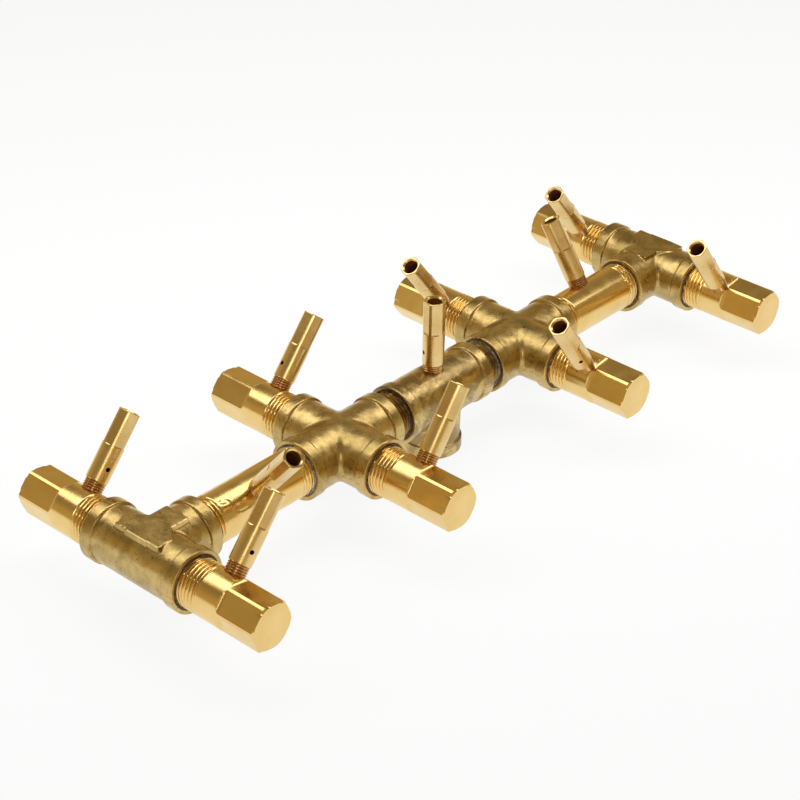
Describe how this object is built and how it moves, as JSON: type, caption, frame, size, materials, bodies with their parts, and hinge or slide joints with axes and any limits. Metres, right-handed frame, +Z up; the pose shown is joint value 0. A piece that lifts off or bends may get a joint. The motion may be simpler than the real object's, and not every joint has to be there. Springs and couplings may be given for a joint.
{
  "type": "linear tree gas burner",
  "caption": "Linear gas burner built from brass pipe fittings: a spine of tees and crosses with closed side arms, slanted air-mixing jets and a gas inlet below.",
  "frame": {"origin": "middle of the gas inlet's mouth, on the underside of the centre tee", "axes": "+X along the spine, from the front tee to the rear tee; +Y to the left arms; +Z up, the way the centre jet points"},
  "size_m": [0.3515, 0.1328, 0.0719],
  "materials": {
    "cast_brass": "tarnished forging, slightly rough",
    "pipe_brass": "turned and milled, bright",
    "jet_brass": "turned, bright",
    "sealant": "set paste, dull"
  },
  "bodies": {
    "root": {"front_tee": "cast_brass", "front_cross": "cast_brass", "centre_tee": "cast_brass", "rear_cross": "cast_brass", "rear_tee": "cast_brass", "arm_front_tee_left": "pipe_brass", "arm_front_tee_right": "pipe_brass", "arm_front_cross_left": "pipe_brass", "arm_front_cross_right": "pipe_brass", "arm_rear_cross_left": "pipe_brass", "arm_rear_cross_right": "pipe_brass", "arm_rear_tee_left": "pipe_brass", "arm_rear_tee_right": "pipe_brass", "nipple_front": "pipe_brass", "nipple_rear": "pipe_brass", "close_nipple_front": "pipe_brass", "close_nipple_rear": "pipe_brass", "jet_front_tee_left": "jet_brass", "jet_front_tee_right": "jet_brass", "jet_front_cross_left": "jet_brass", "jet_front_cross_right": "jet_brass", "jet_rear_cross_left": "jet_brass", "jet_rear_cross_right": "jet_brass", "jet_rear_tee_left": "jet_brass", "jet_rear_tee_right": "jet_brass", "jet_nipple_front": "jet_brass", "jet_nipple_rear": "jet_brass", "jet_centre": "jet_brass", "sealant_front_tee": "sealant", "sealant_front_cross": "sealant", "sealant_centre_tee": "sealant", "sealant_rear_cross": "sealant", "sealant_rear_tee": "sealant"}
  },
  "joints": []
}
